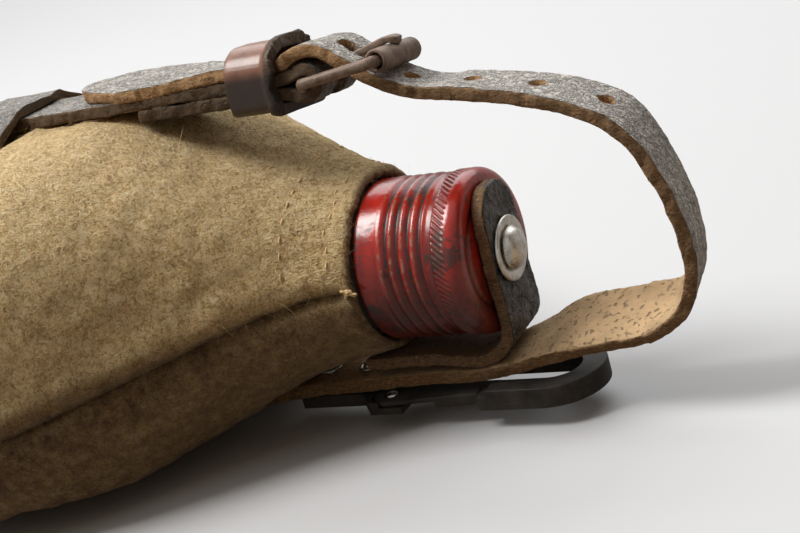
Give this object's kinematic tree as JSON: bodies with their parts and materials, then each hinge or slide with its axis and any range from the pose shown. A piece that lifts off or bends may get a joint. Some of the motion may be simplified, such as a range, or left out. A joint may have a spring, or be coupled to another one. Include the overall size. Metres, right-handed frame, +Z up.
{
  "type": "field canteen",
  "caption": "Kidney-shaped canteen in a felt cover, lying on its back, with a screw cap on a leather tab, a buckled carrying strap, a body band and a snap hook.",
  "frame": {"origin": "middle of the underside of the lying flask's overall box, on the surface it lies on", "axes": "+X out of the mouth along the neck, +Z up through the front of the belly, +Y to the side with the felt cover's closing flap"},
  "size_m": [0.2364, 0.1442, 0.0912],
  "materials": {
    "felt": "mottled wool felt",
    "aluminium": "dull",
    "red_lacquer": "worn lacquer",
    "rubber": "matt",
    "bright_steel": "nickelled",
    "grey_leather": "cracked grain",
    "brown_leather": "smooth",
    "rusted_steel": "rusted",
    "dark_steel": "blackened"
  },
  "bodies": {
    "flask": {"felt_front": "felt", "felt_back": "felt", "closing_flap": "felt", "press_stud_1": "bright_steel", "press_stud_2": "bright_steel", "press_stud_3": "bright_steel", "bottle": "aluminium", "carrying_strap": "grey_leather", "strap_keeper": "brown_leather", "body_band": "grey_leather", "hook_frame": "dark_steel", "hook_gate_spring": "bright_steel", "hook_gate_pin": "bright_steel", "hook_rivet_1": "bright_steel", "hook_rivet_burr_1": "bright_steel", "hook_rivet_2": "bright_steel", "hook_rivet_burr_2": "bright_steel"},
    "cap_holder": {"cap_rivet": "bright_steel", "cap_rivet_washer": "bright_steel", "cap_rivet_burr": "bright_steel", "cap_tab": "grey_leather"},
    "cap": {"cap_shell": "red_lacquer", "cap_gasket": "rubber"},
    "buckle": {"buckle_frame": "rusted_steel"},
    "roller": {"buckle_roller": "rusted_steel"},
    "tongue": {"buckle_tongue": "rusted_steel"},
    "gate": {"hook_gate": "dark_steel"}
  },
  "joints": [
    {"name": "cap_rise", "type": "slide", "parent": "flask", "child": "cap_holder", "axis": [1, 0, 0], "range_m": [0, 0.0109], "deforming": ["cap_tab"]},
    {"name": "cap_turn", "type": "hinge", "parent": "cap_holder", "child": "cap", "pos_m": [0.05822, -0.00094, 0.0375], "axis": [1, 0, 0], "range_deg": [0, 1440]},
    {"name": "buckle_lift", "type": "hinge", "parent": "flask", "child": "buckle", "pos_m": [0.04172, -0.00094, 0.0805], "axis": [0, -0.9925, 0.1219], "range_deg": [0, 7]},
    {"name": "roller_spin", "type": "hinge", "parent": "buckle", "child": "roller", "pos_m": [0.05978, -0.00067, 0.0827], "axis": [0, -0.9925, 0.1219], "continuous": true},
    {"name": "tongue_lift", "type": "hinge", "parent": "buckle", "child": "tongue", "pos_m": [0.04172, -0.00094, 0.0805], "axis": [0, -0.9925, 0.1219], "range_deg": [0, 5]},
    {"name": "gate_swing", "type": "hinge", "parent": "flask", "child": "gate", "pos_m": [0.04022, -0.00794, 0.00752], "axis": [-0.0087, 0, 1], "range_deg": [0, 18], "stiffness_Nm_per_rad": 0.02, "springref_deg": -11.46, "deforming": ["hook_gate_spring"]}
  ],
  "couplings": [
    {"joint": "cap_rise", "follows": "cap_turn", "m_per_rad": 0.0004329}
  ]
}
